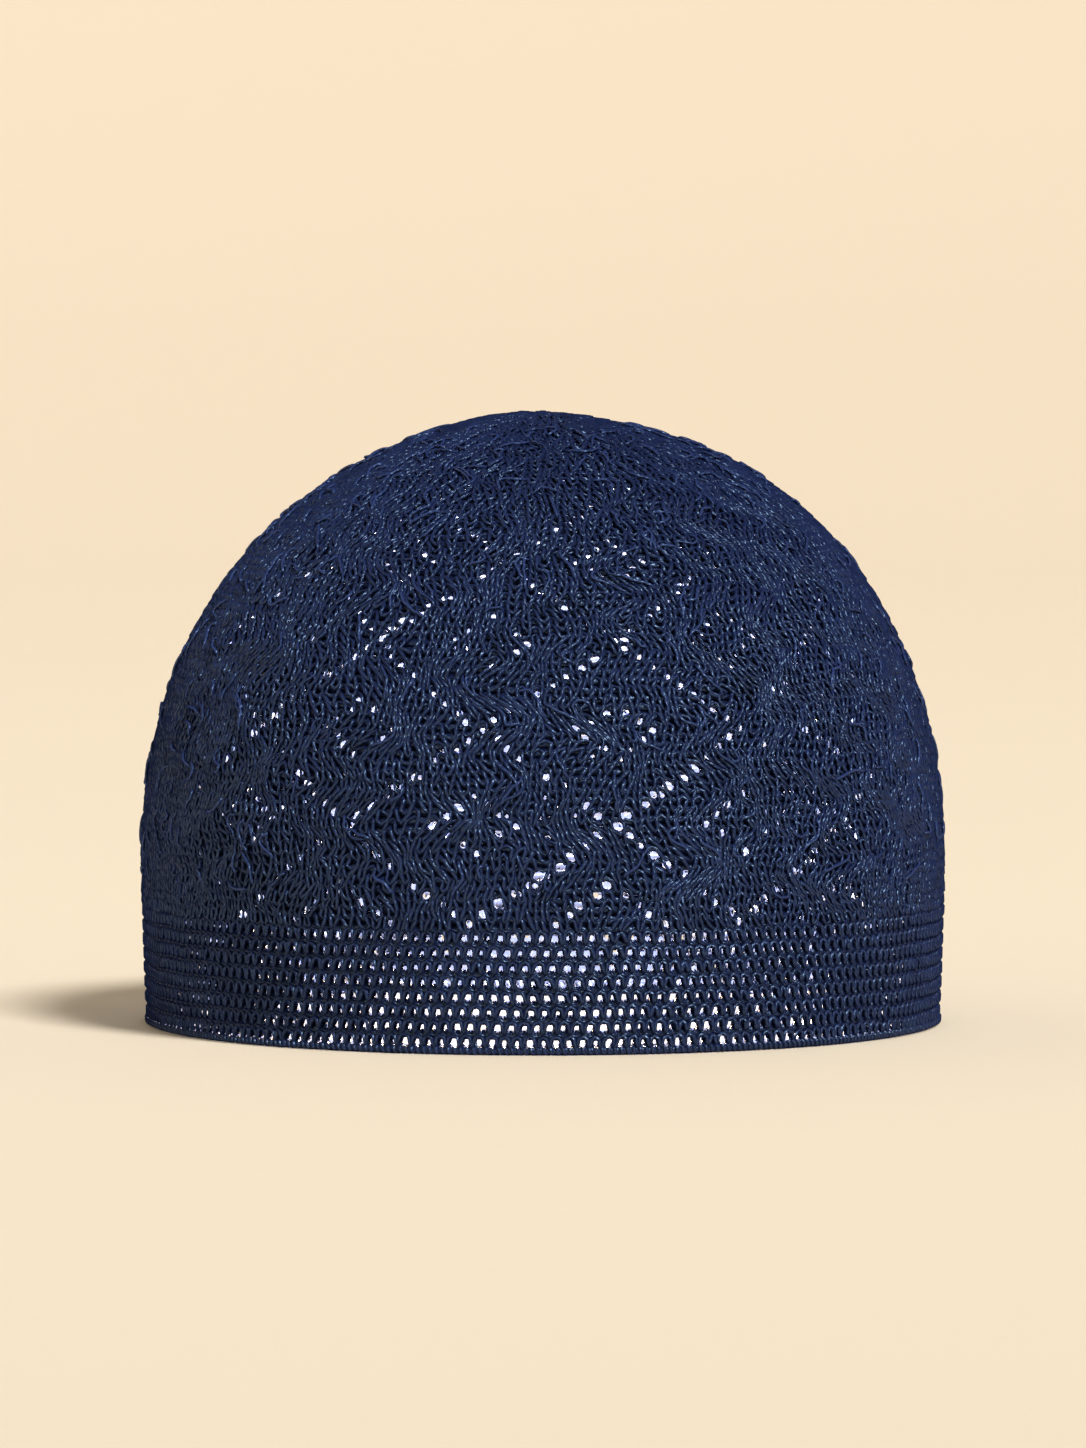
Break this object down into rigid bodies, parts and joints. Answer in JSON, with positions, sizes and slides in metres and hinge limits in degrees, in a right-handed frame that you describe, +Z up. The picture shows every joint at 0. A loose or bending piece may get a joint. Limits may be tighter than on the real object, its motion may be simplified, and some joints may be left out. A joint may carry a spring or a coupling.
{
  "type": "prayer cap",
  "caption": "Brimless crocheted prayer cap in navy thread: domed crown with a diamond lattice of eyelets, openwork mesh band and firm edging at the rim, standing on its rim.",
  "frame": {"origin": "middle of the rim's footprint, on the surface that the cap stands on", "axes": "+Z up through the crown, the front of the cap faces -Y, +X to the right seen from the front"},
  "size_m": [0.162, 0.194, 0.1232],
  "materials": {
    "navy_thread": "matt navy cotton crochet thread with a slight sheen"
  },
  "bodies": {
    "root": {"crown": "navy_thread", "mesh_band": "navy_thread", "rim_edging": "navy_thread"}
  },
  "joints": []
}
